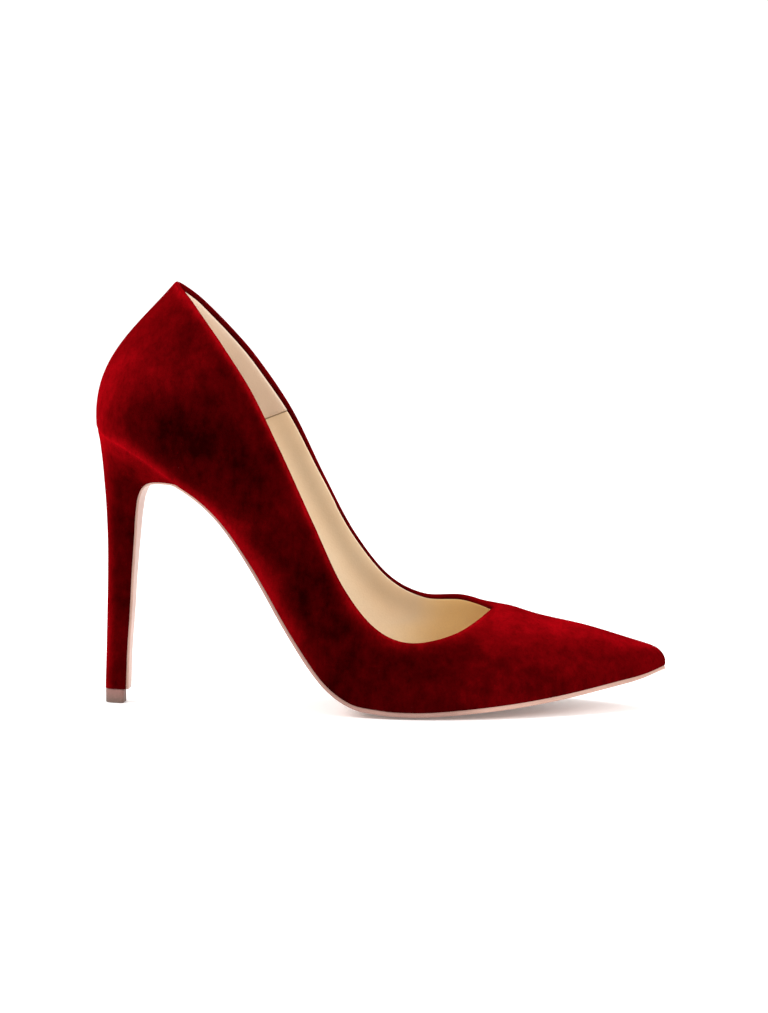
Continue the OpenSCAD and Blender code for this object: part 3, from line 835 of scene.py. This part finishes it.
def sock():
    """Sock lining over the foam: dished across, its edge tucked down against the wall."""
    q = np.concatenate([np.linspace(1.1, 13.4, 110), np.linspace(13.45, 13.98, 8)])
    a, b = Wall(q), Wall(TOE - q)
    height = sock_low(a.f[:, 0]) + SOCK_THICKNESS
    against_lining = DEPTH + 0.15
    tucked = height - 1.0

    def edge(wall, h):
        t = (h - DEPTH) / (3 * np.linalg.norm(wall.low, axis=1))
        return wall.at(against_lining, np.clip(t, 0, 1))

    def on_bottom(wall, h):
        p = wall.foot(DEPTH, 0)
        return p, edge(wall, h) - bottom(p[:, 0], p[:, 1], h)

    (left, left_gap), (right, right_gap) = on_bottom(a, height), on_bottom(b, height)
    rows = [edge(a, tucked)]
    for u in np.concatenate([[-1, -0.985, -0.96], np.linspace(-0.92, 0.92, 31), [0.96, 0.985, 1]]):
        k = (u + 1) / 2
        dish = 0.55 * abs(u) ** 3 - 0.75 * ease(0.955, 1.0, abs(u))
        p = left * (1 - k) + right * k
        h = sock_low(p[:, 0]) + SOCK_THICKNESS
        rows.append(bottom(p[:, 0], p[:, 1], h + dish) + left_gap * (1 - k) + right_gap * k)
    rows.append(edge(b, tucked))
    points, faces = grid(np.array(rows).transpose(1, 0, 2))
    obj = mesh("sock_lining_sheet", points, faces)
    return finish_piece(obj, "sock", "sock_lining", material=SOCK)


def sole_edge(x):
    """Thickness of the outsole at its edge, from the skived flap to the thin toe."""
    return (0.8 + 0.6 * ease(34, 84, x) + 0.4 * ease(85, 112, x)
            - 0.2 * ease(150, 210, x) - 0.7 * ease(202, 216, x))


def sole_mid(x):
    """Thickness of the outsole along its middle."""
    return sole_edge(x) + 0.4 + ease(90, 118, x) - 0.8 * ease(140, 205, x)


TUCK = 0.15  # how far the outsole's rim sinks into the velvet
SOLE_INSET = 0.3  # how far the outsole lies inside the feather edge and the heel's sides
FLAP_ROOT = 0.35  # how far the flap sinks into the heel cover

# Across the outsole: position from -1 to 1, then depth as a share of the edge and of the crown
SOLE_RIM = [(0.99, 1, 0), (1, 0.75, 0), (1, 0.12, 0), (0.995, 0, 0), (0.9, 0, 0)]
SOLE_LINE = ([(-u, share, crown) for u, share, crown in SOLE_RIM[::-1]]
             + [(u, 1, 1 - abs(u) ** 2.4) for u in np.linspace(-0.97, 0.97, 39)]
             + SOLE_RIM)
# Painted shade on the outsole's edge along the shoe, deepest by the ball and along the arch: x, share
EDGE_SHADE = [(14, 0.5), (28, 0.2), (36, 0.3), (50, 1), (138, 1), (152, 0.35), (190, 0.35),
              (215, 0.45)]


def heel_fronts():
    """Middle of the heel's front, section by section."""
    return np.column_stack([HEEL[:, 2], 0 * HEEL[:, 0], HEEL[:, 3]])


def breast_out():
    """Direction out of the heel's front, section by section."""
    f = heel_fronts()
    last = len(HEEL) - 1
    t = np.array([f[min(last, k + 1)] - f[max(0, k - 1)] for k in range(len(HEEL))])
    return unit(np.column_stack([t[:, 2], 0 * t[:, 0], -t[:, 0]]))


def smooth_loft(sections, count):
    """Sections joined by a smooth curve through the same point of each one."""
    flat = sections.reshape(len(sections), -1)
    gap = np.linalg.norm(np.diff(sections.mean(1), axis=0), axis=1)
    s = np.concatenate([[0], np.cumsum(gap)])
    fine = np.sort(np.unique(np.concatenate([s, np.linspace(0, s[-1], count)])))
    return hermite(s, flat, slopes(s, flat), fine).reshape(len(fine), -1, 3)


def outsole():
    """Leather outsole that runs from the toe over the waist and on down the heel breast."""
    q = np.concatenate([[0.02, 0.08, 0.2, 0.35, 0.5, 0.75], np.arange(3, 33) / 3, [10.85]])
    a, b = Wall(q), Wall(TOE - q)
    left, right = a.foot(SOLE_INSET, -0.05), b.foot(SOLE_INSET, -0.05)
    x = a.f[:, 0]
    e, m = sole_edge(x), sole_mid(x)
    sections = []
    for u, share, crown in SOLE_LINE:
        p = left + (right - left) * ((u + 1) / 2)
        on = bottom(p[:, 0], p[:, 1], 0)
        down = bottom(p[:, 0], p[:, 1], -1) - on
        sections.append(on + down * ((e + TUCK) * share - TUCK + (m - e) * crown)[:, None])
    sections = np.array(sections).transpose(1, 0, 2)
    out, front = breast_out(), heel_fronts()
    flap = []
    for k in reversed(range(len(HEEL))):
        stand, w = HEEL[k, 5], HEEL[k, 4] - SOLE_INSET
        row = []
        for u, share, crown in SOLE_LINE:
            deep = -FLAP_ROOT + (stand + FLAP_ROOT) * (0.9 * share + 0.1 * crown)
            row.append(front[k] + [0, w * u, 0] + out[k] * deep)
        flap.append(row)
    rows = smooth_loft(np.vstack([sections, np.array(flap)]), 190)
    rows[:, :, 2] = np.maximum(rows[:, :, 2], 0)
    points, faces = grid(rows)
    n, m = rows.shape[:2]
    faces += [tuple(range(m)), tuple((n - 1) * m + i for i in range(m))[::-1]]
    obj = mesh("outsole_leather", points, faces, merge=None)
    z = points[:, 2]
    # Scuffing at the tread, strongest next to the floor.
    near_tread = np.exp(-np.maximum(z, 0) / 0.9) * (points[:, 0] > 60)
    paint(obj, "near_tread", near_tread)
    # Painted shade on the rim of the outsole, by the amounts along the shoe.
    rim = np.tile(ease(0.93, 0.985, abs(np.array(SOLE_LINE)[:, 0])), n)
    paint(obj, "edge", rim * np.interp(points[:, 0], *np.transpose(EDGE_SHADE)))
    weld(obj)
    return finish_piece(obj, "sole", "outsole", material=SOLE)


# ---------------------------------------------------------------- heel
def heel_sections(q, inset, recess):
    """Sections of the heel from the top piece to the seat, set in all round and at the front."""
    wall = Wall(q)
    f, out = heel_fronts(), breast_out()
    breast_x = feather(np.array([BREAST]))[0, 0]
    u = (breast_x - wall.f[:, 0]) / (breast_x - SEAT_BACK)
    v = wall.f[:, 1] / SEAT_HALF_WIDTH
    rows = []
    for k in range(len(HEEL)):
        back = np.array([HEEL[k, 0], 0, HEEL[k, 1]])
        front = f[k] - out[k] * recess
        length = np.linalg.norm(back - front)
        p = front + (back - front) * (u * (1 - inset / length))[:, None]
        p[:, 1] += (HEEL[k, 4] - inset) * v
        rows.append(p)
    rows.append(wall.foot(inset + SEAT_STEP, SEAT_LAP))
    return np.array(rows)


def round_heel(corner, fine, count):
    """Stations from the breast round the back to the breast, closer together at both ends."""
    ends = np.linspace(BREAST, BREAST + corner, fine)[:-1]
    middle = np.linspace(BREAST + corner, TOE - BREAST - corner, count)
    return np.concatenate([ends, middle, TOE - ends[::-1]])


def heel_cover():
    """Velvet wrapped round the heel, its edges turned onto the breast under the flap."""
    q = round_heel(0.3, 7, 70)
    turned_in, under_flap, steps = 1.2, 0.6, 120
    outer = smooth_loft(heel_sections(q, 0, 0), steps)
    turned = smooth_loft(heel_sections(q, turned_in, under_flap), steps)
    rows = np.array([np.vstack([b[:1], a, b[-1:]]) for a, b in zip(outer, turned)])
    points, faces = grid(rows)
    obj = mesh("heel_cover_velvet", points, faces, merge=None)
    down = np.maximum(feather_height(np.clip(points[:, 0], -2.4, 40)) - points[:, 2], 0)
    # Painted highlight: a fine bright line along the seam at the seat and a broad glow above it.
    seat_highlight = 0.13 * np.exp(-(down / 9) ** 2) + 0.09 * np.exp(-(down / 0.7) ** 2)
    turn = np.concatenate([q[:1], q, q[-1:]])
    # Painted highlight round the back of the heel.
    back = 0.20 * ease(2.0, 0.3, abs(turn - BACK))
    nap_and_sheen = 0.20 + seat_highlight + np.tile(back, len(rows))
    paint(obj, "nap_and_sheen", nap_and_sheen)
    weld(obj)
    return finish_piece(obj, "heel_velvet", "heel_cover", material=VELVET_HEEL)


def top_piece():
    """Its front edge lies behind the flap, with the corners rounded."""
    line = heel_sections(round_heel(0.5, 16, 50), 0.15, 0.0)[0]
    pin_x, shorter, narrower, corner = 5.15, 0.78, 0.96, 1.2
    line[:, 0] = np.where(line[:, 0] > pin_x, pin_x + shorter * (line[:, 0] - pin_x), line[:, 0])
    turn = np.clip((line[:, 0] - line[:, 0].max()) / corner + 1, 0, 1)
    cut_in = corner * (1 - np.sqrt(1 - turn ** 2))
    line[:, 1] = narrower * line[:, 1] - np.sign(line[:, 1]) * cut_in
    middle = line.mean(0)
    rows = []
    for z, grow in ((0, 0.92), (0, 0.965), (0.12, 0.99), (0.4, 1), (5, 1), (5.3, 0.985),
                    (TOP_PIECE_HEIGHT, 0.95), (TOP_PIECE_HEIGHT, 0.6)):
        p = middle + (line - middle) * grow
        p[:, 2] = z
        rows.append(p)
    rows = np.array(rows)
    points, faces = grid(rows.transpose(1, 0, 2), ring=True)
    m = len(rows)
    bottom_face = tuple(i * m for i in range(len(line)))
    top_face = tuple(i * m + m - 1 for i in range(len(line)))[::-1]
    faces += [bottom_face, top_face]
    obj = mesh("heel_top_piece", points, faces)
    # 1 at the tread, 0 on top: the rubber is darker towards the tread.
    paint(obj, "near_tread", [1 - v.co.z * 1000 / TOP_PIECE_HEIGHT for v in obj.data.vertices])
    sharpen_edges(obj)
    return finish_piece(obj, "top_piece", "heel_tip", material=TOP_PIECE)


def sharpen_edges(obj, angle=50):
    """Keeps an edge sharp where its faces turn by more than the angle in degrees."""
    bm = bmesh.new()
    bm.from_mesh(obj.data)
    for e in bm.edges:
        e.smooth = not (len(e.link_faces) == 2 and e.calc_face_angle(0) > math.radians(angle))
    bm.to_mesh(obj.data)
    bm.free()


# ---------------------------------------------------------------- the CAD's own pieces
def carried_over():
    """The pieces inside keep the CAD's meshes and get materials of their own."""
    finishes = {
        "interlining": woven("interlining_weave", (0.80, 0.78, 0.73)),
        "stiffener": woven("stiffener_weave", (0.62, 0.52, 0.40), 0.0008),
        "insole_board": fibre_board("insole_fibre", (0.60, 0.46, 0.32), (0.48, 0.35, 0.23)),
        "fibre_board": fibre_board("shank_fibre", (0.26, 0.16, 0.10), (0.17, 0.10, 0.06)),
        "filler": plastic("cork_filler", (0.20, 0.13, 0.08)),
        "foam": foam("latex_foam"),
        "heel_plastic": plastic("heel_plastic", (0.04, 0.04, 0.042)),
        "steel": steel("shank_steel"),
    }
    for part in frame["record"]["subparts"]:
        obj = frame["nodes"][part["node"]]
        finish = finishes.get(part["material_slot"])
        if finish and not obj.hide_render:
            obj.data.materials.clear()
            obj.data.materials.append(finish)


# ---------------------------------------------------------------- studio
def studio():
    """White floor that glows faintly, white world and three softboxes."""
    centre = Vector(((LOW[0] + HIGH[0]) / 2, (LOW[1] + HIGH[1]) / 2, 0))
    data = bpy.data.meshes.new("floor")
    bm = bmesh.new()
    bmesh.ops.create_grid(bm, x_segments=1, y_segments=1, size=30.0)
    bm.to_mesh(data)
    bm.free()
    floor = bpy.data.objects.new("floor", data)
    floor.location = centre
    bpy.context.scene.collection.objects.link(floor)
    pale = Nodes("glowing_pale_floor")
    pale.colour(pale.ramp(pale.noise(3, 2), (0.3, (0.965, 0.965, 0.965)),
                          (0.7, (0.975, 0.975, 0.975))))
    # The floor glows faintly: painted light that lightens the shadows on it.
    pale.set(Roughness=0.3, Specular_IOR_Level=0.25,
             Emission_Color=(1, 1, 1, 1), Emission_Strength=0.12)
    floor.data.materials.append(pale.material)

    bpy.context.scene.view_settings.view_transform = "Standard"
    world = bpy.data.worlds.new("studio")
    bpy.context.scene.world = world
    world.use_nodes = True
    world.node_tree.nodes["Background"].inputs["Color"].default_value = (1, 1, 1, 1)
    world.node_tree.nodes["Background"].inputs["Strength"].default_value = 1.0

    def softbox(name, place, aim, size, power):
        light = bpy.data.lights.new(name, "AREA")
        light.shape = "RECTANGLE"
        light.size, light.size_y = size
        light.energy = power
        obj = bpy.data.objects.new(name, light)
        obj.location = place
        obj.rotation_mode = "QUATERNION"
        obj.rotation_quaternion = (Vector(place) - Vector(aim)).to_track_quat("Z", "Y")
        bpy.context.scene.collection.objects.link(obj)

    softbox("key", (-0.9, -0.5, 0.9), (-0.05, 0, 0.08), (0.6, 0.6), 9)
    softbox("fill", (0.9, -0.6, 0.7), (0.05, 0, 0.05), (0.6, 0.6), 6)
    softbox("overhead", (0, 0.1, 1.3), (0, 0, 0), (1.0, 0.8), 10)


def camera():
    """A long lens a little above the shoe, seen from its outer side."""
    azimuth, elevation, distance = math.radians(6.0), math.radians(6.5), 2.5
    target = Vector((0.0015, 0.0004, 0.0767))
    back = Vector((math.sin(azimuth) * math.cos(elevation), -math.cos(azimuth) * math.cos(elevation),
                   math.sin(elevation)))
    data = bpy.data.cameras.new("camera")
    data.sensor_width = 36
    data.lens = 232.8
    data.clip_end = 50
    obj = bpy.data.objects.new("camera", data)
    obj.location = target + back * distance
    obj.rotation_mode = "QUATERNION"
    obj.rotation_quaternion = (-back).to_track_quat("-Z", "Y")
    bpy.context.scene.collection.objects.link(obj)
    bpy.context.scene.camera = obj


camera()
velvet_upper()
linings()
back_stay()
sock()
outsole()
heel_cover()
top_piece()
carried_over()
studio()
